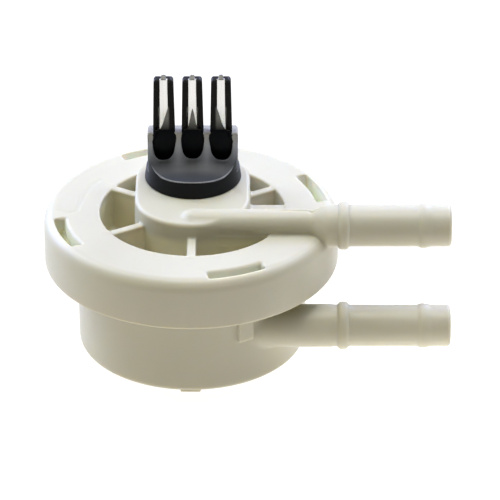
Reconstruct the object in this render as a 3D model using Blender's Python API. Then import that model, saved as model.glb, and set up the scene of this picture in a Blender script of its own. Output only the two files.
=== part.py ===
"""Turbine flow meter: a cup with a hose barb, a bayonet cap with a second barb,
a paddle wheel with magnets between them, and a three-contact pick-up on top.

Frame: origin on the wheel's axis in the plane the cup stands on, +Z up,
+X along both hose barbs. Dimensions below are in millimetres."""

import math

import bmesh
import bpy
from mathutils import Vector

MM = 0.001
LEVEL = 0.8             # heights are counted from this far above the plane the cup stands on

# ---- cup -------------------------------------------------------------------
CUP_LOW = -0.4          # underside of the cup's floor, above its feet and centre pad
CUP_R = 16.4            # outer radius under the cap
CUP_R_LOW = 16.3        # outer radius at the floor (draft)
CUP_EDGE = 0.7          # rounding of the lower edge
CUP_FLOOR_TOP = 1.6
CHAMBER_R = 14.2        # wheel chamber
SOCKET_R = 15.3         # wider mouth that takes the cap's plug
SOCKET_Z = 11.9
CUP_RIM_Z = 16.6
CUP_LUG_R = 19.4        # bayonet lugs on the cup
CUP_LUG_Z0 = 14.8
CUP_LUG_HALF = 13.0     # degrees
FLOOR_BOSS_R = 3.4
FLOOR_BOSS_Z = 3.6
BUSH_POCKET_R = 2.2
BUSH_POCKET_Z = 1.4

# ---- cap -------------------------------------------------------------------
CAP_R = 21.0
CAP_TOP = 20.1
CAP_LOW = 12.65
CAP_EDGE = 1.8          # rounding of the upper edge
SKIRT_R = 19.9          # inner radius of the skirt
PLATE_Z = 17.9          # underside of the top plate
PLUG_R = 15.0           # plug that enters the cup's socket
PLUG_Z = 12.3           # underside of the plug, ceiling of the chamber
MOAT_R = 13.3
MOAT_Z = 13.8           # floor of the ribbed recess
MOAT_EDGE = 0.35
CAP_LUG_R = 17.8
CAP_LUG_Z1 = 14.35
WINDOW_R0 = 17.95
WINDOW_R1 = 19.62
WINDOW_Z = 17.2         # floor of the windows
WINDOW_HALF = 12.2      # degrees
WINDOW_AT = 20.3        # degrees, the first of four
PAN_R0 = 17.5           # trays under the top plate that close the windows
PAN_Z = 16.9
RIB_T = 1.25

# ---- boss and connector ----------------------------------------------------
BOSS_R = 8.2
BOSS_TOP = 22.2
BOSS_EDGE = 1.05
CONN_Y = 6.1            # connector axis, behind the wheel's axis
POCKET_R = 5.6
POCKET_Z = 17.0
SENSOR_POCKET_Z = 14.3

# ---- hose barbs ------------------------------------------------------------
UP_Y, UP_Z = -6.19, 20.96
LOW_Y, LOW_Z = -10.9, 7.33
BARB_END = 36.7
BARB_R = 2.95
BARB_BORE = 1.45
COLLAR_X = 21.6
COLLAR_R = 3.38
RIDGE_X = 32.7
RIDGE_R = 3.17
DUCT_R = 2.05           # slimmer duct across the cap
DUCT_START = -1.65
DUCT_BACK = 0.62        # how far the duct lies behind the barb's axis
DUCT_X0, DUCT_X1 = 15.8, 19.4   # where it swings into the barb

# ---- connector body --------------------------------------------------------
FLANGE_R0, FLANGE_R1 = 6.93, 6.64
FLANGE_Z0, FLANGE_Z1 = 22.35, 24.45
BLOCK_R = 6.58
BLOCK_HALF = 6.42       # flattened sides
BLOCK_TOP = 29.7
BLOCK_BACK = 8.0
RAMP_R = 2.4            # hollow rounding between the flange top and the block's front
RAMP_Y1 = 5.3           # front of the block at its top
RAMP_LEAN = 0.24        # how far the block's front leans back, per unit of height
PITCH = 4.07
WELL_R = 1.5
WELL_Y = 4.05
WELL_Z = 25.9
FINGER_TOP = 38.1
FINGER_W0, FINGER_W1 = 3.05, 2.66
FINGER_Y0, FINGER_Y1 = 4.9, 6.9
CHANNEL_W = 1.5
BLADE_W = 1.22
BLADE_Y0, BLADE_Y1 = 5.5, 6.0
BLADE_LOW = 18.3
BLADE_TOP = 38.0
TIP_TOP = 38.7

# ---- rotor -----------------------------------------------------------------
AXLE_R = 0.82
AXLE_Z0, AXLE_Z1 = 1.9, 13.9
BUSH_IN, BUSH_OUT = 0.90, 1.9
HUB_R = 8.0
VANE_R = 12.7
VANE_T = 1.2
VANES = 10
WHEEL_Z0, WHEEL_Z1 = 4.6, 10.4
MAGNET_AT = 6.1
MAGNET_R = 1.3
MAGNET_H = 2.2

BIG = 64                # facets of large circles
MID = 36
SMALL = 24


# ---- helpers ---------------------------------------------------------------
def clear_scene():
    for ob in list(bpy.data.objects):
        bpy.data.objects.remove(ob, do_unlink=True)


def mesh_from(verts, faces, name):
    me = bpy.data.meshes.new(name)
    me.from_pydata([(x * MM, y * MM, (z + LEVEL) * MM) for x, y, z in verts], [], faces)
    bm = bmesh.new()
    bm.from_mesh(me)
    bmesh.ops.recalc_face_normals(bm, faces=bm.faces)
    bm.to_mesh(me)
    bm.free()
    return me


def new_object(name, me):
    ob = bpy.data.objects.new(name, me)
    bpy.context.scene.collection.objects.link(ob)
    return ob


def lathe(name, profile, segs=BIG, axis="Z", centre=(0.0, 0.0, 0.0)):
    """Turned solid from a closed (radius, height) outline."""
    verts, rings = [], []
    for r, h in profile:
        if r < 1e-6:
            rings.append([len(verts)])
            verts.append((0.0, 0.0, h))
            continue
        ring = []
        for i in range(segs):
            a = 2 * math.pi * i / segs
            ring.append(len(verts))
            verts.append((r * math.cos(a), r * math.sin(a), h))
        rings.append(ring)
    faces = []
    n = len(rings)
    for k in range(n):
        a, b = rings[k], rings[(k + 1) % n]
        if len(a) == 1 and len(b) == 1:
            continue
        for i in range(segs):
            j = (i + 1) % segs
            if len(a) == 1:
                faces.append((a[0], b[i], b[j]))
            elif len(b) == 1:
                faces.append((a[i], b[0], a[j]))
            else:
                faces.append((a[i], b[i], b[j], a[j]))
    if axis == "X":
        verts = [(h, x, y) for x, y, h in verts]
    cx, cy, cz = centre
    verts = [(x + cx, y + cy, z + cz) for x, y, z in verts]
    return new_object(name, mesh_from(verts, faces, name))


def loft(name, loops):
    """Solid skinned through loops of equal length, capped at both ends."""
    verts, faces = [], []
    n = len(loops[0])
    for loop in loops:
        verts.extend(loop)
    for k in range(len(loops) - 1):
        for i in range(n):
            j = (i + 1) % n
            faces.append((k * n + i, k * n + j, (k + 1) * n + j, (k + 1) * n + i))
    faces.append(tuple(range(n)))
    faces.append(tuple((len(loops) - 1) * n + i for i in range(n)))
    return new_object(name, mesh_from(verts, faces, name))


def prism(name, outline, z0, z1):
    return loft(name, [[(x, y, z0) for x, y in outline], [(x, y, z1) for x, y in outline]])


def block(name, x0, x1, y0, y1, z0, z1):
    return prism(name, [(x0, y0), (x1, y0), (x1, y1), (x0, y1)], z0, z1)


def cylinder(name, r, z0, z1, at=(0.0, 0.0), segs=SMALL):
    return lathe(name, [(0, z0), (r, z0), (r, z1), (0, z1)], segs, "Z", (at[0], at[1], 0))


def rod_x(name, r, x0, x1, y, z, segs=SMALL):
    return lathe(name, [(0, x0), (r, x0), (r, x1), (0, x1)], segs, "X", (0, y, z))


def sector(name, r0, r1, mid_deg, half_deg, z0, z1, steps=8):
    outline = []
    for i in range(steps + 1):
        a = math.radians(mid_deg - half_deg + 2 * half_deg * i / steps)
        outline.append((r1 * math.cos(a), r1 * math.sin(a)))
    for i in range(steps + 1):
        a = math.radians(mid_deg + half_deg - 2 * half_deg * i / steps)
        outline.append((r0 * math.cos(a), r0 * math.sin(a)))
    return prism(name, outline, z0, z1)


def fillet_points(cx, cz, r, a0, a1, steps):
    return [(cx + r * math.cos(math.radians(a0 + (a1 - a0) * i / steps)),
             cz + r * math.sin(math.radians(a0 + (a1 - a0) * i / steps))) for i in range(steps + 1)]


def tidy(me):
    """Close up points and edges too short to matter."""
    bm = bmesh.new()
    bm.from_mesh(me)
    bmesh.ops.remove_doubles(bm, verts=bm.verts, dist=0.004 * MM)
    bmesh.ops.dissolve_degenerate(bm, edges=bm.edges, dist=0.004 * MM)
    bm.to_mesh(me)
    bm.free()


def combine(ob, tool, operation):
    """Exact boolean of ob with tool, baked into ob."""
    mod = ob.modifiers.new(operation.lower(), "BOOLEAN")
    mod.operation = operation
    mod.solver = "EXACT"
    mod.object = tool
    bpy.context.view_layer.update()
    depsgraph = bpy.context.evaluated_depsgraph_get()
    me = bpy.data.meshes.new_from_object(ob.evaluated_get(depsgraph))
    tidy(me)
    ob.modifiers.clear()
    old = ob.data
    ob.data = me
    me.name = ob.name
    bpy.data.meshes.remove(old)
    bpy.data.objects.remove(tool, do_unlink=True)


def add(ob, tool):
    combine(ob, tool, "UNION")


def cut(ob, tool):
    combine(ob, tool, "DIFFERENCE")


def material(name, colour, roughness, metallic):
    mat = bpy.data.materials.new(name)
    mat.use_nodes = True
    shader = mat.node_tree.nodes.get("Principled BSDF")
    shader.inputs["Base Color"].default_value = (*colour, 1.0)
    shader.inputs["Roughness"].default_value = roughness
    shader.inputs["Metallic"].default_value = metallic
    mat.diffuse_color = (*colour, 1.0)
    return mat


def finish(ob, colour, roughness, metallic=0.0, sharp=35.0, parent=None):
    ob.data.materials.clear()
    ob.data.materials.append(material(ob.name + "_material", colour, roughness, metallic))
    ob.data.shade_smooth()
    ob.data.set_sharp_from_angle(angle=math.radians(sharp))
    if parent is not None:
        ob.parent = parent


def empty(name, at):
    ob = bpy.data.objects.new(name, None)
    ob.empty_display_size = 0.004
    ob.location = Vector(at)
    bpy.context.scene.collection.objects.link(ob)
    return ob


def stadium(r, y0, y1, half_steps=20):
    """Outline with half-round ends about (0, y0) and (0, y1)."""
    pts = []
    for i in range(half_steps + 1):
        a = math.pi + math.pi * i / half_steps
        pts.append((r * math.cos(a), y0 + r * math.sin(a)))
    for i in range(half_steps + 1):
        a = math.pi * i / half_steps
        pts.append((r * math.cos(a), y1 + r * math.sin(a)))
    return pts


def barb_profile(x0, r0_points):
    """Outline of a barb from x0 to its end: root points, collar, ridge, rounded tip."""
    pts = [(0.0, x0)] + r0_points
    pts += [(BARB_R + 0.05, COLLAR_X - 0.95), (COLLAR_R - 0.12, COLLAR_X - 0.65), (COLLAR_R, COLLAR_X - 0.4),
            (COLLAR_R, COLLAR_X + 0.4), (COLLAR_R - 0.12, COLLAR_X + 0.65), (BARB_R, COLLAR_X + 0.95)]
    pts += [(BARB_R, RIDGE_X - 0.9), (RIDGE_R, RIDGE_X - 0.15), (RIDGE_R, RIDGE_X + 0.15), (BARB_R, RIDGE_X + 1.6)]
    pts += [(BARB_R, BARB_END - 0.35), (BARB_R - 0.1, BARB_END - 0.1), (BARB_R - 0.35, BARB_END), (0.0, BARB_END)]
    return pts


def ease(v, v0, v1):
    """Soft step from 0 at v0 to 1 at v1."""
    t = min(1.0, max(0.0, (v - v0) / (v1 - v0)))
    return t * t * (3 - 2 * t)


def duct_rod(name, stations, segs=SMALL):
    """Round rod along X through (radius, x) stations, on the axis of the duct and its barb."""
    loops = []
    for r, x in stations:
        y = UP_Y + DUCT_BACK * (1 - ease(x, DUCT_X0, DUCT_X1))
        ring = [2 * math.pi * i / segs for i in range(segs)]
        loops.append([(x, y + r * math.cos(a), UP_Z + r * math.sin(a)) for a in ring])
    return loft(name, loops)


def wire(name, points, half):
    """Square-section lead along a polyline."""
    loops = []
    n = len(points)
    vs = [Vector(p) for p in points]
    side = Vector((1.0, 0.0, 0.0))
    for i in range(n):
        if i == 0:
            t = (vs[1] - vs[0]).normalized()
        elif i == n - 1:
            t = (vs[i] - vs[i - 1]).normalized()
        else:
            t = ((vs[i] - vs[i - 1]).normalized() + (vs[i + 1] - vs[i]).normalized()).normalized()
        u = side - t * side.dot(t)
        u.normalize()
        w = t.cross(u)
        loops.append([tuple(vs[i] + (u * a + w * b) * half) for a, b in ((-1, -1), (1, -1), (1, 1), (-1, 1))])
    return loft(name, loops)


# ---- the pieces ------------------------------------------------------------
def make_lower_housing():
    lower_edge = fillet_points(CUP_R_LOW - CUP_EDGE, CUP_LOW + CUP_EDGE, CUP_EDGE, -90, 0, 4)
    profile = [(0, CUP_LOW)] + lower_edge + [(CUP_R, CAP_LOW), (CUP_R, CUP_RIM_Z), (0, CUP_RIM_Z)]
    ob = lathe("lower_housing", profile)
    for k in range(4):
        add(ob, sector("lug", CUP_R - 0.8, CUP_LUG_R, WINDOW_AT + 90 * k, CUP_LUG_HALF, CUP_LUG_Z0, CUP_RIM_Z))
    # barb, with its root buried in the wall
    add(ob, lathe("barb", barb_profile(6.0, [(BARB_R, 6.0)]), SMALL, "X", (0, LOW_Y, LOW_Z)))
    # stop rib beside the barb
    a0, a1 = math.degrees(math.acos(8.9 / 17.0)), math.degrees(math.acos(6.9 / 17.0))
    add(ob, sector("stop", CUP_R - 1.2, 17.0, -(a0 + a1) / 2, (a1 - a0) / 2, 7.2, 12.2, 4))
    # chamber, mouth and floor
    cavity = lathe("cavity", [(0, CUP_FLOOR_TOP), (CHAMBER_R, CUP_FLOOR_TOP), (CHAMBER_R, SOCKET_Z),
                              (SOCKET_R, SOCKET_Z), (SOCKET_R, CUP_RIM_Z + 2), (0, CUP_RIM_Z + 2)])
    cut(ob, cavity)
    add(ob, cylinder("floor_boss", FLOOR_BOSS_R, CUP_FLOOR_TOP - 0.6, FLOOR_BOSS_Z))
    cut(ob, cylinder("bush_pocket", BUSH_POCKET_R, BUSH_POCKET_Z, FLOOR_BOSS_Z + 1))
    cut(ob, rod_x("bore", BARB_BORE, 6.2, BARB_END + 2, LOW_Y, LOW_Z))
    # centre pad and three feet
    add(ob, cylinder("pad", 3.0, -LEVEL, CUP_LOW + 0.5))
    for deg in (270, 30, 150):
        add(ob, sector("foot", 14.1, 15.75, deg, 5.3, -LEVEL, CUP_LOW + 0.5, 3))
    finish(ob, (0.80, 0.79, 0.72), 0.42)
    return ob


def make_upper_cap(parent):
    edge = fillet_points(CAP_R - CAP_EDGE, CAP_TOP - CAP_EDGE, CAP_EDGE, 0, 90, 6)
    moat_edge = fillet_points(MOAT_R + MOAT_EDGE, CAP_TOP - MOAT_EDGE, MOAT_EDGE, 90, 180, 2)
    profile = [(0, PLUG_Z), (PLUG_R, PLUG_Z), (PLUG_R, PLATE_Z), (SKIRT_R, PLATE_Z), (SKIRT_R, CAP_LOW),
               (CAP_R - 0.1, CAP_LOW), (CAP_R, CAP_LOW + 0.1)] + edge + moat_edge + [(MOAT_R, MOAT_Z), (0, MOAT_Z)]
    ob = lathe("upper_cap", profile)
    # ribs across the recess
    for deg in (30, 150, 210, 270):
        a = math.radians(deg)
        c, s = math.cos(a), math.sin(a)
        h = RIB_T / 2
        outline = [(5 * c + h * s, 5 * s - h * c), (14 * c + h * s, 14 * s - h * c),
                   (14 * c - h * s, 14 * s + h * c), (5 * c - h * s, 5 * s + h * c)]
        add(ob, prism("rib", outline, MOAT_Z - 0.6, CAP_TOP - 0.27))
    # solid filling between boss and rim under the duct
    web_r, web_y0, web_y1 = MOAT_R + 0.9, -7.5, 1.65
    a0, a1 = math.asin(web_y0 / web_r), math.asin(web_y1 / web_r)
    outline = [(0.13, web_y1), (0.13, web_y0)]
    outline += [(web_r * math.cos(a0 + (a1 - a0) * i / 9), web_r * math.sin(a0 + (a1 - a0) * i / 9)) for i in range(10)]
    add(ob, prism("web", outline, MOAT_Z - 0.7, CAP_TOP - 0.12))
    # raised boss
    loops = [[(x, y, MOAT_Z - 0.8) for x, y in stadium(BOSS_R, 0, CONN_Y)]]
    for r, z in fillet_points(BOSS_R - BOSS_EDGE, BOSS_TOP - BOSS_EDGE, BOSS_EDGE, 0, 90, 4):
        loops.append([(x, y, z) for x, y in stadium(r, 0, CONN_Y)])
    add(ob, loft("boss", loops))
    # duct and barb
    nose = [(DUCT_R * math.sin(math.radians(a)), DUCT_START + DUCT_R * (1 - math.cos(math.radians(a))))
            for a in (22, 45, 68, 90)]
    swing = [DUCT_X0 + (DUCT_X1 - DUCT_X0) * i / 6 for i in range(7)]
    root = nose + [(DUCT_R + (BARB_R - DUCT_R) * ease(x, DUCT_X0 + 1.1, DUCT_X1), x) for x in swing]
    add(ob, duct_rod("barb", barb_profile(DUCT_START, root)[1:-1]))
    # the duct's sides run straight down into the filling
    side = DUCT_R - 0.03
    add(ob, block("arch", 0.6, 16.6, UP_Y + DUCT_BACK - side, UP_Y + DUCT_BACK + side, 18.6, UP_Z))
    # bayonet lugs and the blind windows above them
    for k in range(4):
        add(ob, sector("lug", CAP_LUG_R, SKIRT_R + 0.5, WINDOW_AT + 90 * k, WINDOW_HALF - 0.4,
                       CAP_LOW + 0.05, CAP_LUG_Z1))
    for k in range(4):
        add(ob, sector("pan", PAN_R0, SKIRT_R + 0.3, WINDOW_AT + 90 * k, WINDOW_HALF + 1.4, PAN_Z, PLATE_Z + 0.3))
    for k in range(4):
        cut(ob, sector("window", WINDOW_R0, WINDOW_R1, WINDOW_AT + 90 * k, WINDOW_HALF, WINDOW_Z, CAP_TOP + 1))
    # outlet passage, bush pocket and dry pocket
    bore = [(BARB_BORE - 0.25, -0.2)] + [(BARB_BORE - 0.25 + 0.2 * ease(x, DUCT_X0, DUCT_X1), x) for x in swing]
    cut(ob, duct_rod("bore", bore + [(BARB_BORE - 0.05, BARB_END + 2)]))
    cut(ob, cylinder("riser", 1.12, PLUG_Z - 1, UP_Z + 0.3, (1.33, UP_Y + DUCT_BACK)))
    cut(ob, cylinder("bush_pocket", BUSH_POCKET_R, PLUG_Z - 1, 14.4))
    cut(ob, cylinder("dry_pocket", POCKET_R, POCKET_Z, BOSS_TOP + 1, (0, CONN_Y), MID))
    cut(ob, block("sensor_pocket", -2.6, 2.6, 3.4, 9.0, SENSOR_POCKET_Z, POCKET_Z + 0.5))
    finish(ob, (0.83, 0.82, 0.75), 0.40, parent=parent)
    return ob


def make_connector(parent):
    at = (0, CONN_Y, 0)
    profile = [(0, 19.0), (5.0, 19.0), (5.3, 19.3), (5.3, FLANGE_Z0), (FLANGE_R0 - 0.15, FLANGE_Z0),
               (FLANGE_R0, FLANGE_Z0 + 0.15), (FLANGE_R1, FLANGE_Z1 - 0.1), (FLANGE_R1 - 0.1, FLANGE_Z1),
               (0, FLANGE_Z1)]
    ob = lathe("connector_body", profile, MID, "Z", at)
    # block with flattened sides and a hollow front that rises to the fingers
    a_side = math.acos(BLOCK_HALF / BLOCK_R)
    outline = []
    for i in range(25):
        a = math.pi + a_side + (math.pi - 2 * a_side) * i / 24
        outline.append((BLOCK_R * math.cos(a), CONN_Y + BLOCK_R * math.sin(a)))
    outline += [(BLOCK_HALF, BLOCK_BACK - 0.6), (BLOCK_HALF - 0.6, BLOCK_BACK), (-BLOCK_HALF + 0.6, BLOCK_BACK),
                (-BLOCK_HALF, BLOCK_BACK - 0.6)]
    body = prism("block", outline, FLANGE_Z1 - 0.5, BLOCK_TOP)
    lean = math.atan(RAMP_LEAN)
    z_flat = FLANGE_Z1 + 0.08
    # the rounding touches the flat at one end and the leaning front at the other
    y_front = RAMP_Y1 - (BLOCK_TOP - z_flat) * RAMP_LEAN
    y_mid = y_front - RAMP_R * math.tan((math.pi / 2 - lean) / 2)
    hollow = [(-4.0, z_flat), (-4.0, 40.0), (RAMP_Y1 + (40.0 - BLOCK_TOP) * RAMP_LEAN, 40.0)]
    for i in range(8):
        a = (math.pi / 2 - lean) * (1 - i / 7)
        hollow.append((y_mid + RAMP_R * math.sin(a), z_flat + RAMP_R * (1 - math.cos(a))))
    cut(body, loft("hollow", [[(x, y, z) for y, z in hollow] for x in (-12, 12)]))
    add(ob, body)
    for k in (-1, 0, 1):
        well = [(0, WELL_Z)] + fillet_points(WELL_R - 0.9, WELL_Z + 0.9, 0.9, -90, 0, 4) + [(WELL_R, 32), (0, 32)]
        cut(ob, lathe("well", well, SMALL, "Z", (k * PITCH, WELL_Y, 0)))
    for k in (-1, 0, 1):
        x = k * PITCH
        loops = []
        for z in (28.4, 29.0, FINGER_TOP - 0.45, FINGER_TOP):
            t = max(0.0, (z - 29.0) / (FINGER_TOP - 29.0))
            w = (FINGER_W0 + (FINGER_W1 - FINGER_W0) * t) / 2
            d = 0.35 if z == FINGER_TOP else 0.0
            y0, y1 = FINGER_Y0 + 0.15 * t + d * 0.6, FINGER_Y1 - 0.1 * t - d * 0.6
            w -= d
            loops.append([(x - w, y0, z), (x + w, y0, z), (x + w, y1, z), (x - w, y1, z)])
        add(ob, loft("finger", loops))
    for k in (-1, 0, 1):
        x = k * PITCH
        h = CHANNEL_W / 2
        cut(ob, block("channel", x - h, x + h, FINGER_Y0 - 1, BLADE_Y1 + 0.2, 28.1, FINGER_TOP + 2))
        cut(ob, block("slot", x - h, x + h, BLADE_Y0 - 0.2, BLADE_Y1 + 0.21, 17.0, 28.6))
    finish(ob, (0.012, 0.013, 0.016), 0.38, sharp=30.0, parent=parent)
    return ob


def make_blade(name, x, parent):
    h, t = BLADE_W / 2, 0.35
    outline = [(x - h, BLADE_LOW), (x + h, BLADE_LOW), (x + h, BLADE_TOP - 0.3), (x + t, BLADE_TOP),
               (x + t, TIP_TOP - 0.2), (x + t - 0.2, TIP_TOP), (x - t + 0.2, TIP_TOP), (x - t, TIP_TOP - 0.2),
               (x - t, BLADE_TOP), (x - h, BLADE_TOP - 0.3)]
    ob = loft(name, [[(px, y, pz) for px, pz in outline] for y in (BLADE_Y0, BLADE_Y1)])
    finish(ob, (0.72, 0.72, 0.70), 0.18, 1.0, parent=parent)
    return ob


def ring(name, r0, r1, z0, z1, segs=SMALL, chamfer=0.12):
    c = chamfer
    return lathe(name, [(r0, z0), (r1 - c, z0), (r1, z0 + c), (r1, z1 - c), (r1 - c, z1), (r0, z1)], segs)


def make_rotor(parent):
    outline = []
    for k in range(VANES):
        mid = 2 * math.pi * k / VANES
        nxt = 2 * math.pi * (k + 1) / VANES
        a_root = math.asin(VANE_T / 2 / HUB_R)
        a_tip = math.asin(VANE_T * 0.4 / VANE_R)
        outline.append((HUB_R * math.cos(mid - a_root), HUB_R * math.sin(mid - a_root)))
        outline.append((VANE_R * math.cos(mid - a_tip), VANE_R * math.sin(mid - a_tip)))
        outline.append((VANE_R * math.cos(mid + a_tip), VANE_R * math.sin(mid + a_tip)))
        outline.append((HUB_R * math.cos(mid + a_root), HUB_R * math.sin(mid + a_root)))
        for i in (1, 2, 3):
            a = mid + a_root + (nxt - mid - 2 * a_root) * i / 4
            outline.append((HUB_R * math.cos(a), HUB_R * math.sin(a)))
    wheel = prism("turbine_wheel", outline, WHEEL_Z0, WHEEL_Z1)
    cut(wheel, cylinder("axle_hole", AXLE_R + 0.3, WHEEL_Z0 - 1, WHEEL_Z1 + 1))
    cut(wheel, lathe("relief", [(2.6, WHEEL_Z0 - 1), (7.0, WHEEL_Z0 - 1), (7.0, WHEEL_Z0 + 1.6),
                                (2.6, WHEEL_Z0 + 1.6)], MID))
    for k in range(4):
        a = math.pi / 2 * k + math.pi / 2
        at = (MAGNET_AT * math.cos(a), MAGNET_AT * math.sin(a))
        cut(wheel, cylinder("pocket", MAGNET_R + 0.3, WHEEL_Z1 - MAGNET_H - 0.6, WHEEL_Z1 + 1, at, 24))
        z0 = WHEEL_Z1 - MAGNET_H - 0.3
        magnet = cylinder("rotor_magnet_%d" % (k + 1), MAGNET_R, z0, z0 + MAGNET_H, at, 24)
        finish(magnet, (0.10, 0.10, 0.11), 0.45, 0.8, parent=parent)
    finish(wheel, (0.75, 0.75, 0.72), 0.45, parent=parent)
    finish(ring("magnet_cover", 1.4, 7.8, WHEEL_Z1 + 0.3, WHEEL_Z1 + 0.9, MID), (0.70, 0.70, 0.68), 0.5, parent=parent)
    c = 0.15
    axle = lathe("rotor_axle", [(0, AXLE_Z0), (AXLE_R - c, AXLE_Z0), (AXLE_R, AXLE_Z0 + c), (AXLE_R, AXLE_Z1 - c),
                                (AXLE_R - c, AXLE_Z1), (0, AXLE_Z1)], 32)
    finish(axle, (0.62, 0.62, 0.62), 0.2, 1.0, parent=parent)


def main():
    clear_scene()
    cap_axis = empty("cap_axis", (0, 0, (CAP_LOW + LEVEL) * MM))
    rotor_axis = empty("rotor_axis", (0, 0, (WHEEL_Z0 + LEVEL) * MM))
    bpy.context.view_layer.update()

    make_lower_housing()
    make_upper_cap(cap_axis)
    make_connector(cap_axis)
    for name, k in (("contact_blade_left", -1), ("contact_blade_centre", 0), ("contact_blade_right", 1)):
        make_blade(name, k * PITCH, cap_axis)

    # seal on the cup's rim
    seal = lathe("housing_o_ring", [(15.85 + 0.4 * math.cos(2 * math.pi * i / 10),
                                     17.25 + 0.34 * math.sin(2 * math.pi * i / 10)) for i in range(10)], BIG)
    finish(seal, (0.03, 0.03, 0.03), 0.7)
    low_bush = ring("lower_bearing_bush", BUSH_IN, BUSH_OUT, 1.7, 3.3, 32)
    finish(low_bush, (0.60, 0.10, 0.12), 0.25)
    up_bush = ring("upper_bearing_bush", BUSH_IN, BUSH_OUT, 12.6, 14.1, 32)
    finish(up_bush, (0.60, 0.10, 0.12), 0.25, parent=cap_axis)
    jet = lathe("inlet_nozzle", [(0.5, 12.0), (0.9, 11.6), (1.15, 11.8), (1.15, 15.6), (1.0, 15.8), (0.9, 15.8),
                                 (0.5, 14.6)], 24, "X", (0, LOW_Y, LOW_Z))
    finish(jet, (0.55, 0.56, 0.58), 0.4)
    sensor = block("hall_sensor", -2.05, 2.05, 4.5, 7.6, 14.65, 16.1)
    finish(sensor, (0.02, 0.02, 0.022), 0.5, parent=cap_axis)
    carrier = block("sensor_carrier", -2.2, 2.2, 3.8, 7.4, 16.4, 17.0)
    finish(carrier, (0.10, 0.30, 0.14), 0.5, parent=cap_axis)
    for name, k in (("sensor_lead_left", -1), ("sensor_lead_centre", 0), ("sensor_lead_right", 1)):
        x = 1.27 * k
        lead = wire(name, [(x, 7.9, 15.3), (x, 8.45, 15.3), (x, 8.45, 17.75), (x, 7.9, 17.75),
                           (PITCH * k, 5.9, 17.75)], 0.19)
        finish(lead, (0.70, 0.70, 0.68), 0.3, 1.0, parent=cap_axis)
    make_rotor(rotor_axis)

    # pieces under an empty keep their place in the world
    for ob in bpy.data.objects:
        if ob.parent is not None:
            ob.matrix_parent_inverse = ob.parent.matrix_world.inverted()
    bpy.context.view_layer.update()


main()
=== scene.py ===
import math

import bpy
import numpy as np
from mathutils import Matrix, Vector


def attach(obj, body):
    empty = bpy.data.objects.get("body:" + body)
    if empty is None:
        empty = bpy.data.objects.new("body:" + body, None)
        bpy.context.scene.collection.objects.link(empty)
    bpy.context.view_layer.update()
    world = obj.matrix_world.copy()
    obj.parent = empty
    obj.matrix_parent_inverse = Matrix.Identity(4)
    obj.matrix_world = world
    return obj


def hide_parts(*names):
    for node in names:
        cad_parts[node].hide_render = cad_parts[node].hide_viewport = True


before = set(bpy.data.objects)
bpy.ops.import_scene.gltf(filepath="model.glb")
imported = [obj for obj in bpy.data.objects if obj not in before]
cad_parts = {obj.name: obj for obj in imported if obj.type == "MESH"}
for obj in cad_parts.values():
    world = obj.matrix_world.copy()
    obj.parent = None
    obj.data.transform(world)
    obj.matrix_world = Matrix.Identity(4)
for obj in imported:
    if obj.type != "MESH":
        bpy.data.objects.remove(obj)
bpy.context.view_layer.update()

MM = 0.001

# Dimensions in millimetres. Each moulded piece is written as a signed distance
# field, so that corners and joins carry real moulded roundings, and is then
# skinned into a mesh.
WINDOWS = [20.3 + 90.0 * k for k in range(4)]
PITCH = 4.07
CONN_Y = 6.1
UP_Y, UP_Z = -6.19, 20.88
LOW_Y, LOW_Z = -10.9, 7.33
BARB_END = 36.7
LEVEL = 0.8             # heights are counted from this far above the floor
SIDE = 0.2              # recess, boss and connector sit this far towards +X


# ---- distance field helpers ------------------------------------------------
def rmax(a, b, r):
    """Common part of two solids with the edge rounded to r."""
    u = np.maximum(a + r, 0)
    v = np.maximum(b + r, 0)
    return np.minimum(-r, np.maximum(a, b)) + np.sqrt(u * u + v * v)


def rmin(a, b, r):
    """Two solids joined with a hollow fillet of radius r."""
    u = np.maximum(r - a, 0)
    v = np.maximum(r - b, 0)
    return np.maximum(r, np.minimum(a, b)) - np.sqrt(u * u + v * v)


def rsub(a, b, r):
    return rmax(a, -b, r)


def slab(v, lo, hi):
    return np.maximum(lo - v, v - hi)


def wedge(x, y, deg, half):
    """Negative inside the angle of +-half degrees about the direction deg."""
    c, s = math.cos(math.radians(deg)), math.sin(math.radians(deg))
    ch, sh = math.cos(math.radians(half)), math.sin(math.radians(half))
    u = x * c + y * s
    v = np.abs(y * c - x * s)
    return v * ch - u * sh


def smooth(x, a, b):
    t = np.clip((x - a) / (b - a), 0, 1)
    return t * t * (3 - 2 * t)


def hump(x, at, half, power=4):
    t = np.clip(np.abs(x - at) / half, 0, 1)
    return 1 - t ** power


def barb_radius(x):
    """Outer radius of a hose barb along its length, from the collar on."""
    r = 2.95 + 0.43 * hump(x, 21.55, 0.8)
    rise = np.clip((x - 31.9) / 0.7, 0, 1)
    fall = np.clip((34.2 - x) / 1.4, 0, 1)
    return r + 0.22 * smooth(np.minimum(rise, fall), 0, 1)


# ---- skinning --------------------------------------------------------------
def sample(f, lo, hi, h):
    ax = [np.arange(a, b + h, h, dtype=np.float32) for a, b in zip(lo, hi)]
    grid = np.empty([len(a) for a in ax], np.float32)
    for i in range(0, len(ax[0]), 24):
        grid[i:i + 24] = f(ax[0][i:i + 24, None, None], ax[1][None, :, None], ax[2][None, None, :])
    return grid


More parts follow.
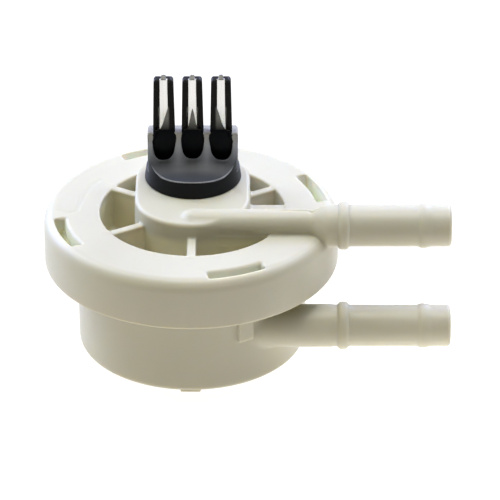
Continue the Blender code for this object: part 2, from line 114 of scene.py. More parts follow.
def skin(grid, lo, h):
    """One point per cell that the surface crosses, joined by quads."""
    inside = grid < 0
    n = np.zeros([s - 1 for s in grid.shape], np.int8)
    corners = [(i, j, k) for i in (0, 1) for j in (0, 1) for k in (0, 1)]
    for i, j, k in corners:
        n += inside[i:i + n.shape[0], j:j + n.shape[1], k:k + n.shape[2]]
    active = (n > 0) & (n < 8)
    cell = np.argwhere(active).astype(np.int32)
    index = np.full(n.shape, -1, np.int32)
    index[active] = np.arange(len(cell))
    value = {c: grid[cell[:, 0] + c[0], cell[:, 1] + c[1], cell[:, 2] + c[2]] for c in corners}
    total = np.zeros((len(cell), 3))
    count = np.zeros(len(cell))
    for a in corners:
        for axis in range(3):
            if a[axis]:
                continue
            b = tuple(1 if m == axis else a[m] for m in range(3))
            va, vb = value[a], value[b]
            hit = (va < 0) != (vb < 0)
            t = va[hit] / (va[hit] - vb[hit])
            p = np.tile(np.array(a, float), (hit.sum(), 1))
            p[:, axis] = t
            total[hit] += p
            count[hit] += 1
    points = (cell + total / count[:, None]) * h + np.array(lo)
    quads = []
    for axis in range(3):
        b, c = (axis + 1) % 3, (axis + 2) % 3
        first = [slice(None)] * 3
        second = [slice(None)] * 3
        first[axis], second[axis] = slice(None, -1), slice(1, None)
        for m in (b, c):
            first[m] = second[m] = slice(1, -1)
        s0, s1 = inside[tuple(first)], inside[tuple(second)]
        for flip, mask in ((False, s0 & ~s1), (True, ~s0 & s1)):
            at = np.argwhere(mask)
            at[:, b] += 1
            at[:, c] += 1
            ring = []
            for db, dc in ((-1, -1), (0, -1), (0, 0), (-1, 0)):
                q = at.copy()
                q[:, b] += db
                q[:, c] += dc
                ring.append(index[q[:, 0], q[:, 1], q[:, 2]])
            if flip:
                ring.reverse()
            quads.append(np.stack(ring, 1))
    return points, np.concatenate(quads)


def settle(points, quads, f, h, rounds=3):
    """Evens the points out and puts them back on the true surface."""
    a = quads.ravel()
    b = np.roll(quads, -1, axis=1).ravel()
    ends = np.concatenate([a, b])
    other = np.concatenate([b, a])
    n = np.maximum(np.bincount(ends, minlength=len(points)), 1)
    e = 0.02
    for _ in range(rounds):
        mean = np.stack([np.bincount(ends, points[other, m], len(points)) / n for m in range(3)], 1)
        points = points + 0.5 * (mean - points)
        for _ in range(2):
            d = f(points[:, 0], points[:, 1], points[:, 2])
            g = np.stack([f(*[points[:, m] + (e if m == axis else 0) for m in range(3)])
                          - f(*[points[:, m] - (e if m == axis else 0) for m in range(3)])
                          for axis in range(3)], 1) / (2 * e)
            g2 = np.maximum((g * g).sum(1), 0.25)
            step = np.clip(d / g2, -0.5 * h, 0.5 * h)
            points = points - step[:, None] * g
    return points


def moulded(name, f, lo, hi, h, budget):
    """Mesh object skinned from the field f, brought down to about budget triangles."""
    lo = np.array(lo, float) - 2.3 * h
    hi = np.array(hi, float) + 2.3 * h
    points, quads = skin(sample(f, lo, hi, h), lo, h)
    points = settle(points, quads, f, h)
    me = bpy.data.meshes.new(name)
    me.vertices.add(len(points))
    me.vertices.foreach_set("co", ((points + (0.0, 0.0, LEVEL)) * MM).astype(np.float32).ravel())
    me.loops.add(quads.size)
    me.loops.foreach_set("vertex_index", quads.astype(np.int32).ravel())
    me.polygons.add(len(quads))
    me.polygons.foreach_set("loop_start", np.arange(0, quads.size, 4, dtype=np.int32))
    me.update(calc_edges=True)
    me.validate()
    ob = bpy.data.objects.new(name, me)
    bpy.context.scene.collection.objects.link(ob)
    if len(quads) * 2 > budget:
        mod = ob.modifiers.new("thin", "DECIMATE")
        mod.ratio = budget / (len(quads) * 2)
        bpy.context.view_layer.update()
        thin = bpy.data.meshes.new_from_object(ob.evaluated_get(bpy.context.evaluated_depsgraph_get()))
        ob.modifiers.clear()
        ob.data = thin
        bpy.data.meshes.remove(me)
        thin.name = name
    ob.data.shade_smooth()
    even = ob.modifiers.new("even_normals", "WEIGHTED_NORMAL")
    even.keep_sharp = False
    even.weight = 60
    return ob


# ---- the moulded pieces ----------------------------------------------------
STEP = [(-18.7, -0.3, 20.62), (-17.4, -1.1, 20.62), (-16.3, -0.5, 20.62), (-15.85, 1.6, 20.62),
        (-15.4, 4.1, 20.62), (-14.65, 6.9, 20.62), (-13.4, 8.7, 20.62)]
PARTING = [(10.85, -5.1, 22.87), (16.6, -5.55, 22.93), (17.1, -6.0, 22.91), (18.24, -5.3, 23.33)]


def path(points, x, y, z):
    """Distance from a chain of straight lines."""
    d = None
    for a, b in zip(points, points[1:]):
        s = [q - p for p, q in zip(a, b)]
        t = np.clip(((x - a[0]) * s[0] + (y - a[1]) * s[1] + (z - a[2]) * s[2]) / sum(v * v for v in s), 0, 1)
        e = np.sqrt((x - a[0] - t * s[0]) ** 2 + (y - a[1] - t * s[1]) ** 2 + (z - a[2] - t * s[2]) ** 2)
        d = e if d is None else np.minimum(d, e)
    return d


def cap_field(x, y, z):
    r = np.hypot(x, y)
    d = rmax(rmax(r - 21.0, z - 20.1, 1.9), 12.65 - z, 0.3)
    d = rsub(d, np.maximum(r - 19.9, z - 17.9), 0.15)
    plug = rmax(np.maximum(r - 15.0, z - 19.0), 12.3 - z, 0.4)
    d = rmin(d, plug, 0.3)
    # ribbed recess round the boss
    u = x - SIDE
    q = np.hypot(u, y)
    d = rsub(d, rmax(q - 13.2, 13.8 - z, 0.7), 0.3)
    for deg in (30, 150, 210, 270):
        c, s = math.cos(math.radians(deg)), math.sin(math.radians(deg))
        along, across = u * c + y * s, np.abs(y * c - u * s)
        rib = rmax(across - 0.62, z - 20.0, 0.25)
        rib = np.maximum(np.maximum(rib, slab(along, 5.0, 14.0)), 13.2 - z)
        d = rmin(d, rib, 0.3)
    web = rmax(slab(y, -7.6, 1.65), z - 19.98, 0.3)
    web = np.maximum(np.maximum(web, 0.13 - x), np.maximum(r - 14.2, 13.1 - z))
    d = rmin(d, web, 0.3)
    # raised boss under the connector
    boss = rmax(np.hypot(u, y - np.clip(y, 0, CONN_Y)) - 8.2, z - 22.12, 0.58)
    d = rmin(d, np.maximum(boss, 13.0 - z), 0.4)
    # faint step left by the mould on the rim's left
    d = rsub(d, path(STEP, x, y, z) - 0.6, 0.12)
    # duct and hose barb
    inward = 1 - smooth(x, 15.8, 19.4)
    rho = np.hypot(y - UP_Y - 0.62 * inward, z - UP_Z)
    radius = barb_radius(x) - 0.9 * (1 - smooth(x, 16.9, 19.4))
    tube = np.where(x < 0.4, np.hypot(x - 0.4, rho) - 2.05, rho - radius)
    arch = np.maximum(slab(y, UP_Y + 0.62 - 2.05, UP_Y + 0.62 + 2.05), np.maximum(slab(z, 18.6, UP_Z), slab(x, 0.6, 16.6)))
    tube = np.minimum(tube, arch)
    d = rmin(d, rmax(tube, x - BARB_END, 0.45), 0.4)
    # parting line along the duct's top
    d = rsub(d, path(PARTING, x, y, z) - 0.2, 0.04)
    # bayonet lugs under the rim and the blind windows above them
    for deg in WINDOWS:
        lug = np.maximum(np.maximum(wedge(x, y, deg, 11.8), slab(r, 17.8, 20.4)), slab(z, 12.7, 14.35))
        d = np.minimum(d, lug)
        # deep pocket with a pan below it; its inner edge is soft, its outer one crisp
        pan = np.maximum(np.maximum(wedge(x, y, deg, 13.6), slab(r, 17.6, 20.2)), slab(z, 16.8, 18.2))
        d = np.minimum(d, pan)
        inner_r = 18.0 + 0.12 * (20.1 - z)
        window = rmax(rmax(wedge(x, y, deg, 12.4), np.maximum(inner_r - r, r - 19.62), 0.3), 17.1 - z, 0.3)
        d = rsub(d, window, 0.22 + 0.36 * (1 - smooth(r, 18.3, 19.3)))
    # passage, bush pocket, dry pocket
    d = rsub(d, np.maximum(rho - 1.40 + 0.2 * inward, -0.2 - x), 0.2)
    d = np.maximum(d, -np.maximum(np.hypot(x - 1.33, y - UP_Y - 0.62) - 1.15, slab(z, 11.0, 21.3)))
    d = np.maximum(d, -np.maximum(r - 2.2, z - 14.4))
    d = np.maximum(d, -np.maximum(np.hypot(x, y - CONN_Y) - 5.6, 17.0 - z))
    d = np.maximum(d, -np.maximum(np.maximum(slab(x, -2.6, 2.6), slab(y, 3.4, 9.0)), slab(z, 14.3, 17.5)))
    return d


def cup_field(x, y, z):
    r = np.hypot(x, y)
    d = rmax(r - 16.3 - 0.1 * np.clip((z + 0.4) / 13.05, 0, 1), -0.4 - z, 0.8)
    d = rmax(d, z - 16.6, 0.15)
    for deg in WINDOWS:
        lug = np.maximum(wedge(x, y, deg, 13.0), slab(r, 15.6, 19.4))
        d = rmin(d, rmax(lug, slab(z, 14.8, 16.6), 0.15), 0.25)
    rho = np.hypot(y - LOW_Y, z - LOW_Z)
    root = 0.1 * (1 - smooth(x, 19.6, 20.8))
    tube = rmax(np.maximum(rho - barb_radius(x) - root, 6.0 - x), x - BARB_END, 0.45)
    d = rmin(d, tube, 0.45)
    stop = rmax(np.maximum(wedge(x, y, -62.2, 3.85), slab(r, 15.2, 17.0)), slab(z, 7.2, 12.2), 0.15)
    d = rmin(d, stop, 0.15)
    # chamber, mouth, floor boss
    d = rsub(d, np.minimum(np.maximum(r - 14.2, 1.6 - z), np.maximum(r - 15.3, 11.9 - z)), 0.15)
    d = rmin(d, np.maximum(r - 3.4, slab(z, 1.0, 3.6)), 0.3)
    d = np.maximum(d, -np.maximum(r - 2.2, slab(z, 1.4, 5.0)))
    d = rsub(d, np.maximum(rho - 1.45, 6.2 - x), 0.2)
    # centre pad and three feet
    d = np.minimum(d, rmax(r - 3.0, slab(z, -LEVEL, 0.1), 0.12))
    for deg in (270, 30, 150):
        foot = rmax(np.maximum(wedge(x, y, deg, 5.3), slab(r, 14.1, 15.75)), slab(z, -LEVEL, 0.1), 0.12)
        d = np.minimum(d, foot)
    return d


def connector_field(x, y, z):
    x = x - SIDE
    rc = np.hypot(x, y - CONN_Y)
    # flange tapering up into the block, its top slightly crowned
    taper = 6.93 - 0.14 * np.clip(z - 22.2, 0, 2.4)
    top = 24.68 - 0.0145 * x * x
    d = rmax(rmax(rc - taper, z - top, 0.1), 22.15 - z, 0.2)
    d = np.minimum(d, np.maximum(rc - 5.3, slab(z, 19.0, 23.0)))
    # block: hollow front running up from the flange to the fingers
    lean = 0.24
    front = (5.3 - (29.6 - z) * lean - y) / math.hypot(1, lean)
    block = rmin(rmax(front, z - 29.6, 0.2), z - top, 4.2)
    sides = rmax(np.abs(x) - 6.5, z - 29.6, 0.3)
    plan = rmax(rmax(rc - taper, sides, 0.3), y - 8.0, 0.5)
    d = np.minimum(d, np.maximum(rmax(block, plan, 0.1), 23.6 - z))
    for k in (-1, 0, 1):
        t = np.clip((z - 29.0) / 9.1, 0, 1)
        side = np.abs(x - k * PITCH) - (1.58 - 0.18 * t)
        finger = rmax(rmax(side, slab(y, 5.12, 6.9 - 0.1 * t), 0.3), z - 38.1, 0.6)
        d = rmin(d, np.maximum(finger, 28.4 - z), 0.12)
    for k in (-1, 0, 1):
        # well in the hollow front, below the channel
        narrow = 1.66 - 0.4 * smooth(z, 28.0, 29.8)
        across = np.abs(x - k * (PITCH - 0.3 * smooth(z, 27.5, 30.0)))
        well = (across ** 2.5 + (0.88 * np.abs(y - 5.75)) ** 2.5) ** 0.4 - narrow
        well = np.maximum(np.maximum(well, y - 5.4), slab(z, 25.0, 30.1))
        d = rsub(d, well, 0.2 + 0.2 * (1 - smooth(z, 26.0, 28.0)))
        # channel in front of the blade, wider towards its foot
        u = x - k * PITCH
        wide = np.interp(z, (29.7, 31.0, 33.0, 36.0), (1.45, 0.95, 0.63, 0.55))
        # its foot rises in front of the blade as a small spur, on the side of the plug's middle
        lean_to = u * -k if k else 0.62 - np.abs(u) * 1.5
        foot = 30.1 + 3.3 * smooth(lean_to, -0.75, 0.75) ** 1.3
        d = rsub(d, np.maximum(np.maximum(np.abs(u) - wide, y - 5.6), (foot - z) * 0.35), 0.06)
    return d


def blade_field(k):
    def field(x, y, z):
        dx = np.abs(x - SIDE - k * PITCH)
        plate = rmax(np.maximum(dx - 0.66, slab(z, 18.3, 38.05)), slab(y, 5.46, 6.0), 0.1)
        slope = (5.5 + (z - 38.05) * 0.45 - y) / math.hypot(1, 0.45)
        tip = rmax(rmax(dx - 0.37, z - 38.7, 0.32), np.maximum(slope, y - 6.0), 0.08)
        return np.minimum(plate, np.maximum(tip, 37.9 - z))
    return field


FINE = 0.15
cap = moulded("cap_moulding", cap_field, (-21.0, -21.0, 12.3), (37.0, 21.0, 24.3), FINE, 130000)
cup = moulded("cup_moulding", cup_field, (-19.4, -19.4, -LEVEL), (37.0, 19.4, 16.6), 0.17, 110000)
plug = moulded("connector_moulding", connector_field, (-6.8, -0.9, 19.0), (7.2, 13.1, 38.1), 0.1, 110000)
blades = [moulded("blade_" + side, blade_field(k), (k * PITCH - 0.5, 5.3, 18.3), (k * PITCH + 0.9, 6.0, 38.7), 0.06, 9000)
          for side, k in (("left", -1), ("centre", 0), ("right", 1))]


# ---- materials -------------------------------------------------------------
def material(name):
    mat = bpy.data.materials.new(name)
    mat.use_nodes = True
    tree = mat.node_tree
    return mat, tree, tree.nodes.get("Principled BSDF")


def noise(tree, scale, detail=3.0, rough=0.5, stretch=None):
    coord = tree.nodes.new("ShaderNodeTexCoord")
    tex = tree.nodes.new("ShaderNodeTexNoise")
    tex.inputs["Scale"].default_value = scale
    tex.inputs["Detail"].default_value = detail
    tex.inputs["Roughness"].default_value = rough
    if stretch:
        m = tree.nodes.new("ShaderNodeMapping")
        m.inputs["Scale"].default_value = stretch
        tree.links.new(coord.outputs["Object"], m.inputs["Vector"])
        tree.links.new(m.outputs["Vector"], tex.inputs["Vector"])
    else:
        tree.links.new(coord.outputs["Object"], tex.inputs["Vector"])
    return tex


def ramp(tree, source, stops):
    node = tree.nodes.new("ShaderNodeValToRGB")
    while len(node.color_ramp.elements) < len(stops):
        node.color_ramp.elements.new(0.5)
    for el, (pos, colour) in zip(node.color_ramp.elements, stops):
        el.position = pos
        el.color = (*colour, 1.0)
    tree.links.new(source, node.inputs["Fac"])
    return node


def spread(tree, source, lo, hi, a=0.3, b=0.7):
    node = tree.nodes.new("ShaderNodeMapRange")
    for key, value in (("From Min", a), ("From Max", b), ("To Min", lo), ("To Max", hi)):
        node.inputs[key].default_value = value
    tree.links.new(source, node.inputs["Value"])
    return node


def grain(tree, shader, scale, strength, depth):
    tex = noise(tree, scale, 2.0)
    node = tree.nodes.new("ShaderNodeBump")
    node.inputs["Strength"].default_value = strength
    node.inputs["Distance"].default_value = depth
    tree.links.new(tex.outputs["Fac"], node.inputs["Height"])
    tree.links.new(node.outputs["Normal"], shader.inputs["Normal"])


def painted_thin_wall_light(tree, base, window_glow, glow, light):
    """Painted light through the thin walls: the colour is lifted and tinted inside the four windows of the rim, and
    made lighter inside the recess and at two further spots on its right, where the wall is thin.
    """
    coord = tree.nodes.new("ShaderNodeTexCoord")
    place = tree.nodes.new("ShaderNodeSeparateXYZ")
    tree.links.new(coord.outputs["Object"], place.inputs["Vector"])
    flat = tree.nodes.new("ShaderNodeCombineXYZ")
    tree.links.new(place.outputs["X"], flat.inputs["X"])
    tree.links.new(place.outputs["Y"], flat.inputs["Y"])
    length = tree.nodes.new("ShaderNodeVectorMath")
    length.operation = "LENGTH"
    tree.links.new(flat.outputs["Vector"], length.inputs[0])
    away, high = length.outputs["Value"], place.outputs["Z"]
    depth = spread(tree, high, 0.0, 1.0, 0.0178, 0.0210)
    for stops, limits in ((window_glow, ((away, 0.0174, 0.0177), (away, 0.0202, 0.0199), (high, 0.0174, 0.0177), (high, 0.0208, 0.0204))),
                          (glow, ((away, 0.0136, 0.0131), (high, 0.0140, 0.0143), (high, 0.0206, 0.0196))),
                          (light, ((place.outputs["Y"], 0.0, 0.002), (place.outputs["X"], 0.0075, 0.0095), (high, 0.0140, 0.0143),
                                   (high, 0.0206, 0.0196))),
                          (light, ((place.outputs["Y"], 0.004, 0.008), (place.outputs["X"], 0.0165, 0.0155), (away, 0.0174, 0.0177),
                                   (high, 0.0174, 0.0177), (high, 0.0208, 0.0204)))):
        mask = None
        for source, a, b in limits:
            part = spread(tree, source, 0.0, 1.0, a, b)
            if mask is None:
                mask = part.outputs["Result"]
                continue
            both = tree.nodes.new("ShaderNodeMath")
            both.operation = "MULTIPLY"
            tree.links.new(mask, both.inputs[0])
            tree.links.new(part.outputs["Result"], both.inputs[1])
            mask = both.outputs["Value"]
        mix = tree.nodes.new("ShaderNodeMix")
        mix.data_type = "RGBA"
        mix.blend_type = "MULTIPLY"
        tree.links.new(ramp(tree, depth.outputs["Result"], stops).outputs["Color"], mix.inputs["B"])
        tree.links.new(mask, mix.inputs["Factor"])
        tree.links.new(base, mix.inputs["A"])
        base = mix.outputs["Result"]
    return base


def cloudy(name, low, high, rough, scale=90.0, metallic=0.0, grain_scale=5200.0, grain_strength=0.12, depth=2e-5,
           subsurface=0.0, radius=(1.0, 0.75, 0.42), sub_scale=0.0012, specular=0.5, thin=None):
    """Base colour and gloss that drift softly over the piece, with a fine surface grain."""
    mat, tree, shader = material(name)
    tex = noise(tree, scale)
    base = ramp(tree, tex.outputs["Fac"], [(0.3, low), (0.7, high)]).outputs["Color"]
    # painted light: lifts the colour where light would come through the thin walls
    if thin:
        base = painted_thin_wall_light(tree, base, *thin)
    tree.links.new(base, shader.inputs["Base Color"])
    fine = noise(tree, scale * 6, 4.0)
    tree.links.new(spread(tree, fine.outputs["Fac"], rough - 0.05, rough + 0.05).outputs["Result"], shader.inputs["Roughness"])
    shader.inputs["Metallic"].default_value = metallic
    shader.inputs["Specular IOR Level"].default_value = specular
    if subsurface:
        shader.inputs["Subsurface Weight"].default_value = subsurface
        shader.inputs["Subsurface Radius"].default_value = radius
        shader.inputs["Subsurface Scale"].default_value = sub_scale
    grain(tree, shader, grain_scale, grain_strength, depth)
    return mat


# painted light: colour multipliers above one that lighten the windows, the recess and two spots near it, as if lit
# through the thin walls
WINDOW_PAINTED_GLOW = [(0.0, (1.31, 1.38, 1.32)), (0.45, (1.32, 1.39, 1.42)), (0.85, (1.22, 1.26, 1.36))]
RECESS_PAINTED_GLOW = [(0.0, (1.17, 1.16, 1.10)), (1.0, (1.22, 1.21, 1.15))]
BACKLIT_TINT = [(0.0, (1.08, 1.10, 1.20)), (1.0, (1.10, 1.11, 1.22))]
cap_mat = cloudy("cap_finish_painted_glow", (0.562, 0.535, 0.405), (0.590, 0.562, 0.432), 0.44, subsurface=0.5,
                 sub_scale=0.0014, specular=0.45, thin=(WINDOW_PAINTED_GLOW, RECESS_PAINTED_GLOW, BACKLIT_TINT))
cup_mat = cloudy("cup_finish", (0.558, 0.531, 0.400), (0.585, 0.558, 0.428), 0.44, subsurface=0.5,
                 sub_scale=0.0014, specular=0.45)


def black_with_painted_sheen(name):
    """Black moulding with painted sheen: its upward and leaning faces are painted pale, stronger towards the top, with
    a painted highlight line along the flange's edge, painted shade in and below the wells and painted grey sheen on
    the spurs at the feet of the channels."""
    mat, tree, shader = material(name)

    def math_node(operation, a, b):
        node = tree.nodes.new("ShaderNodeMath")
        node.operation = operation
        for socket, value in zip(node.inputs, (a, b)):
            if isinstance(value, float):
                socket.default_value = value
            else:
                tree.links.new(value, socket)
        return node.outputs["Value"]

    def blend(factor, a, b):
        node = tree.nodes.new("ShaderNodeMix")
        node.data_type = "RGBA"
        tree.links.new(factor, node.inputs["Factor"])
        for key, value in (("A", a), ("B", b)):
            if isinstance(value, tuple):
                node.inputs[key].default_value = (*value, 1.0)
            else:
                tree.links.new(value, node.inputs[key])
        return node.outputs["Result"]

    geo = tree.nodes.new("ShaderNodeNewGeometry")
    split = tree.nodes.new("ShaderNodeSeparateXYZ")
    tree.links.new(geo.outputs["Normal"], split.inputs["Vector"])
    tex = noise(tree, 420.0, 4.0)
    jitter = spread(tree, tex.outputs["Fac"], -0.012, 0.012).outputs["Result"]
    mask = spread(tree, math_node("ADD", split.outputs["Z"], jitter), 0.0, 1.0, 0.165, 0.225).outputs["Result"]
    coord = tree.nodes.new("ShaderNodeTexCoord")
    place = tree.nodes.new("ShaderNodeSeparateXYZ")
    tree.links.new(coord.outputs["Object"], place.inputs["Vector"])
    # painted sheen: faces that look upward are painted pale grey, rising from the flange to the block's top and ending
    # below the fingers
    height = spread(tree, place.outputs["Z"], 0.0, 1.0, 0.0252, 0.0333)
    painted_sheen = ramp(tree, height.outputs["Result"], [(0.0, (0.046, 0.049, 0.055)), (0.14, (0.047, 0.051, 0.058)), (0.23, (0.14, 0.147, 0.16)),
                                                  (0.42, (0.39, 0.405, 0.435)), (0.60, (0.46, 0.45, 0.42)),
                                                  (0.65, (0.33, 0.32, 0.28)), (0.70, (0.02, 0.02, 0.02))]).outputs["Color"]
    # painted highlight: a lighter line along the flange's upper edge
    flat = tree.nodes.new("ShaderNodeCombineXYZ")
    tree.links.new(place.outputs["X"], flat.inputs["X"])
    tree.links.new(place.outputs["Y"], flat.inputs["Y"])
    reach = tree.nodes.new("ShaderNodeVectorMath")
    reach.operation = "DISTANCE"
    reach.inputs[1].default_value = (SIDE * MM, CONN_Y * MM, 0.0)
    tree.links.new(flat.outputs["Vector"], reach.inputs[0])
    painted_edge_highlight = math_node("MULTIPLY", spread(tree, reach.outputs["Value"], 0.0, 1.0, 0.00641, 0.00652).outputs["Result"],
                     spread(tree, place.outputs["Z"], 1.0, 0.0, 0.0258, 0.0264).outputs["Result"])
    painted_edge_highlight = math_node("MULTIPLY", painted_edge_highlight, spread(tree, tex.outputs["Fac"], 0.35, 1.0).outputs["Result"])
    painted_edge_highlight = math_node("MULTIPLY", painted_edge_highlight, spread(tree, place.outputs["Y"], 1.0, 0.0, 0.0034, 0.0044).outputs["Result"])
    painted_sheen = blend(painted_edge_highlight, painted_sheen, (0.34, 0.345, 0.35))
    # painted shade: the black is darker over the height of the wells than below and above them
    black_with_well_shade = ramp(tree, spread(tree, place.outputs["Z"], 0.0, 1.0, 0.0230, 0.0330).outputs["Result"],
                 [(0.22, (0.013, 0.014, 0.016)), (0.28, (0.004, 0.005, 0.007)),
                  (0.78, (0.004, 0.005, 0.007)), (0.86, (0.018, 0.018, 0.017))]).outputs["Color"]
    colour = blend(mask, black_with_well_shade, painted_sheen)
    # painted shade: the painted sheen gives way to near black below the wells
    near = math_node("PINGPONG", math_node("SUBTRACT", place.outputs["X"], SIDE * MM), PITCH * MM / 2)
    painted_shade_below_wells = math_node("MULTIPLY", spread(tree, near, 0.95, 0.0, 0.0005, 0.0019).outputs["Result"],
                     spread(tree, place.outputs["Z"], 0.0, 1.0, 0.0255, 0.0266).outputs["Result"])
    painted_shade_below_wells = math_node("MULTIPLY", painted_shade_below_wells, spread(tree, place.outputs["Z"], 1.0, 0.0, 0.0280, 0.0290).outputs["Result"])
    colour = blend(painted_shade_below_wells, colour, (0.006, 0.007, 0.009))
    # painted sheen: the spurs are painted grey towards their tips
    spur_painted_sheen = math_node("MULTIPLY", spread(tree, near, 1.0, 0.0, 0.0006, 0.00085).outputs["Result"],
                     spread(tree, place.outputs["Z"], 0.0, 1.0, 0.0308, 0.0328).outputs["Result"])
    spur_painted_sheen = math_node("MULTIPLY", spur_painted_sheen, spread(tree, place.outputs["Z"], 1.0, 0.0, 0.0345, 0.0347).outputs["Result"])
    spur_painted_sheen = math_node("MULTIPLY", spur_painted_sheen, spread(tree, place.outputs["Y"], 1.0, 0.0, 0.0058, 0.0062).outputs["Result"])
    tree.links.new(blend(spur_painted_sheen, colour, (0.26, 0.26, 0.24)), shader.inputs["Base Color"])
    tree.links.new(spread(tree, tex.outputs["Fac"], 0.36, 0.46).outputs["Result"], shader.inputs["Roughness"])
    shine = math_node("MULTIPLY", spread(tree, mask, 0.08, 0.25, 0.0, 1.0).outputs["Result"],
                      spread(tree, place.outputs["Z"], 1.0, 0.35, 0.0290, 0.0310).outputs["Result"])
    tree.links.new(shine, shader.inputs["Specular IOR Level"])
    grain(tree, shader, 5200.0, 0.15, 2e-5)
    return mat


def drawn_metal(name, low, high, rough, stretch, sheared=None):
    """Bright metal with fine lines along its length, matt where it was sheared off, above the height sheared."""
    mat, tree, shader = material(name)
    lines = noise(tree, 900.0, 3.0, stretch=stretch)
    tree.links.new(ramp(tree, lines.outputs["Fac"], [(0.3, low), (0.7, high)]).outputs["Color"], shader.inputs["Base Color"])
    gloss = spread(tree, lines.outputs["Fac"], rough - 0.03, rough + 0.04).outputs["Result"]
    if sheared:
        coord = tree.nodes.new("ShaderNodeTexCoord")
        place = tree.nodes.new("ShaderNodeSeparateXYZ")
        tree.links.new(coord.outputs["Object"], place.inputs["Vector"])
        matt = tree.nodes.new("ShaderNodeMath")
        matt.operation = "ADD"
        tree.links.new(gloss, matt.inputs[0])
        tree.links.new(spread(tree, place.outputs["Z"], 0.0, 0.45, sheared, sheared + 0.0002).outputs["Result"], matt.inputs[1])
        gloss = matt.outputs["Value"]
    tree.links.new(gloss, shader.inputs["Roughness"])
    shader.inputs["Metallic"].default_value = 1.0
    return mat


conn_mat = black_with_painted_sheen("connector_finish_painted_sheen")
blade_mat = drawn_metal("contact_finish", (0.70, 0.70, 0.68), (0.79, 0.79, 0.77), 0.14, (4.0, 4.0, 0.15), 0.0387)

for ob, mat, body, node, slot in ((cap, cap_mat, "cap", "upper_cap", "cap_plastic"),
                                  (cup, cup_mat, "base", "lower_housing", "cup_plastic"),
                                  (plug, conn_mat, "cap", "connector_body", "connector_plastic"),
                                  (blades[0], blade_mat, "cap", "contact_blade_left", "contact_metal"),
                                  (blades[1], blade_mat, "cap", "contact_blade_centre", "contact_metal"),
                                  (blades[2], blade_mat, "cap", "contact_blade_right", "contact_metal")):
    ob.data.materials.clear()
    ob.data.materials.append(mat)
    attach(ob, body)
    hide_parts(node)

# pieces kept from the CAD, inside the housing
inner = {
    "housing_o_ring": cloudy("seal_finish", (0.018, 0.018, 0.019), (0.030, 0.030, 0.031), 0.62, 700.0),
    "lower_bearing_bush": cloudy("bush_low_finish", (0.42, 0.03, 0.05), (0.55, 0.05, 0.07), 0.16, 500.0),
    "upper_bearing_bush": cloudy("bush_up_finish", (0.42, 0.03, 0.05), (0.55, 0.05, 0.07), 0.16, 500.0),
    "rotor_axle": drawn_metal("axle_finish", (0.58, 0.58, 0.57), (0.68, 0.68, 0.67), 0.2, (4.0, 4.0, 0.2)),
    "turbine_wheel": cloudy("wheel_finish", (0.70, 0.70, 0.67), (0.76, 0.76, 0.73), 0.45, 160.0),
    "magnet_cover": cloudy("cover_finish", (0.64, 0.64, 0.61), (0.70, 0.70, 0.68), 0.5, 160.0),
    "inlet_nozzle": cloudy("nozzle_finish", (0.48, 0.49, 0.51), (0.56, 0.57, 0.59), 0.4, 300.0),
    "hall_sensor": cloudy("sensor_finish", (0.014, 0.014, 0.015), (0.026, 0.026, 0.028), 0.55, 900.0),
    "sensor_carrier": cloudy("carrier_finish", (0.05, 0.19, 0.08), (0.09, 0.27, 0.12), 0.5, 800.0),
}
for k in range(1, 5):
    inner["rotor_magnet_%d" % k] = cloudy("magnet_%d_finish" % k, (0.07, 0.07, 0.075), (0.12, 0.12, 0.125), 0.42, 1500.0, 0.6)
for side in ("left", "centre", "right"):
    inner["sensor_lead_" + side] = drawn_metal("lead_%s_finish" % side, (0.66, 0.66, 0.64), (0.76, 0.76, 0.73), 0.28, (1.0, 1.0, 1.0))
for name, mat in inner.items():
    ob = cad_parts[name]
    ob.data.materials.clear()
    ob.data.materials.append(mat)

# ---- floor, light, camera --------------------------------------------------
me = bpy.data.meshes.new("floor")
me.from_pydata([(-2, -2, 0), (2, -2, 0), (2, 2, 0), (-2, 2, 0)], [], [(0, 1, 2, 3)])
floor = bpy.data.objects.new("floor", me)
bpy.context.scene.collection.objects.link(floor)
mat, tree, shader = material("floor_glowing_paper")
tex = noise(tree, 60.0)
tree.links.new(ramp(tree, tex.outputs["Fac"], [(0.3, (0.09, 0.09, 0.09)), (0.7, (0.11, 0.11, 0.11))]).outputs["Color"],
               shader.inputs["Base Color"])
shader.inputs["Roughness"].default_value = 0.9
shader.inputs["Emission Color"].default_value = (1.0, 0.97, 0.932, 1.0)
coord = tree.nodes.new("ShaderNodeTexCoord")
away = tree.nodes.new("ShaderNodeVectorMath")
away.operation = "DISTANCE"
away.inputs[1].default_value = (0.01, 0.01, 0.0)
tree.links.new(coord.outputs["Object"], away.inputs[0])
# painted pool of light: the floor glows at full strength within 11 cm of the object and fades to half beyond 16 cm
glow = spread(tree, away.outputs["Value"], 1.04, 0.5, 0.11, 0.16)
glow.interpolation_type = "SMOOTHSTEP"
# painted pool of light: the floor glows brighter below the two barbs
squeeze = tree.nodes.new("ShaderNodeVectorMath")
squeeze.operation = "MULTIPLY"
squeeze.inputs[1].default_value = (1 / 0.045, 1 / 0.035, 0.0)
tree.links.new(coord.outputs["Object"], squeeze.inputs[0])
beside = tree.nodes.new("ShaderNodeVectorMath")
beside.operation = "DISTANCE"
beside.inputs[1].default_value = (0.062 / 0.045, -0.012 / 0.035, 0.0)
tree.links.new(squeeze.outputs["Vector"], beside.inputs[0])
barb_light_pool = spread(tree, beside.outputs["Value"], 0.48, 0.0, 0.8, 1.2)
barb_light_pool.interpolation_type = "SMOOTHSTEP"
both = tree.nodes.new("ShaderNodeMath")
both.operation = "ADD"
tree.links.new(glow.outputs["Result"], both.inputs[0])
tree.links.new(barb_light_pool.outputs["Result"], both.inputs[1])
tree.links.new(both.outputs["Value"], shader.inputs["Emission Strength"])
shader.inputs["Specular IOR Level"].default_value = 0.1
me.materials.append(mat)


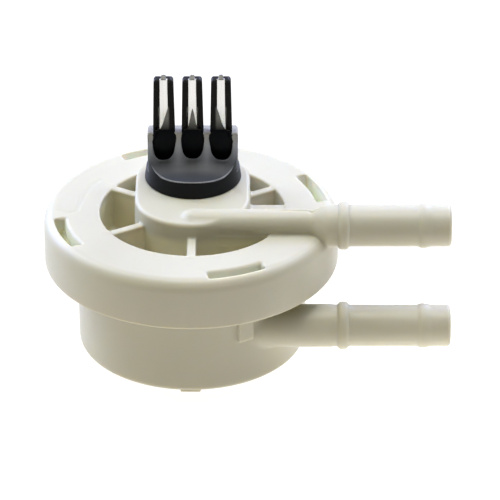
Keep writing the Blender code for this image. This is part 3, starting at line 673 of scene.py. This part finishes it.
def softbox(name, at, aim, size, power, colour=(1.0, 1.0, 1.0)):
    light = bpy.data.lights.new(name, "AREA")
    light.shape = "RECTANGLE"
    light.size, light.size_y = size
    light.energy = power
    light.color = colour
    ob = bpy.data.objects.new(name, light)
    ob.location = at
    ob.rotation_euler = (Vector(aim) - Vector(at)).to_track_quat("-Z", "Y").to_euler()
    bpy.context.scene.collection.objects.link(ob)
    return ob


AIM = (0.0, 0.0, 0.01)
softbox("back", (0.0, 0.45, 0.50), AIM, (0.6, 0.35), 1.91, (0.537, 0.538, 1.0))
softbox("back_right", (0.30, 0.50, 0.30), AIM, (0.3, 0.3), 2.57, (0.593, 0.683, 1.0))
softbox("front_left", (-0.40, -0.40, 0.30), AIM, (0.3, 0.3), 0.28, (1.0, 0.888, 0.498))
softbox("back_left", (-0.42, 0.36, 0.20), AIM, (0.3, 0.3), 3.78, (0.496, 0.595, 1.0))
softbox("left", (-0.40, 0.15, 0.50), AIM, (0.3, 0.3), 1.82, (0.92, 0.979, 1.0))
softbox("right", (0.40, 0.15, 0.50), AIM, (0.3, 0.3), 2.20, (0.733, 0.791, 1.0))
softbox("overhead", (0.03, 0.0, 0.70), AIM, (0.35, 0.25), 2.49, (1.0, 0.992, 0.945))

scene = bpy.context.scene
world = bpy.data.worlds.new("studio")
scene.world = world
world.use_nodes = True
back = world.node_tree.nodes.get("Background")
back.inputs["Color"].default_value = (1.0, 1.0, 1.0, 1.0)
back.inputs["Strength"].default_value = 0.02
scene.view_settings.view_transform = "Standard"

cam_data = bpy.data.cameras.new("camera")
cam_data.lens = 251.0
cam_data.sensor_width = 36.0
cam_data.clip_start = 0.01
cam_data.clip_end = 20.0
camera = bpy.data.objects.new("camera", cam_data)
tilt = math.radians(29.7)
camera.location = (0.00838, -0.5 * math.cos(tilt), 0.0142 + 0.5 * math.sin(tilt))
camera.rotation_euler = (math.pi / 2 - tilt, 0.0, 0.0)
scene.collection.objects.link(camera)
scene.camera = camera

bpy.context.view_layer.update()
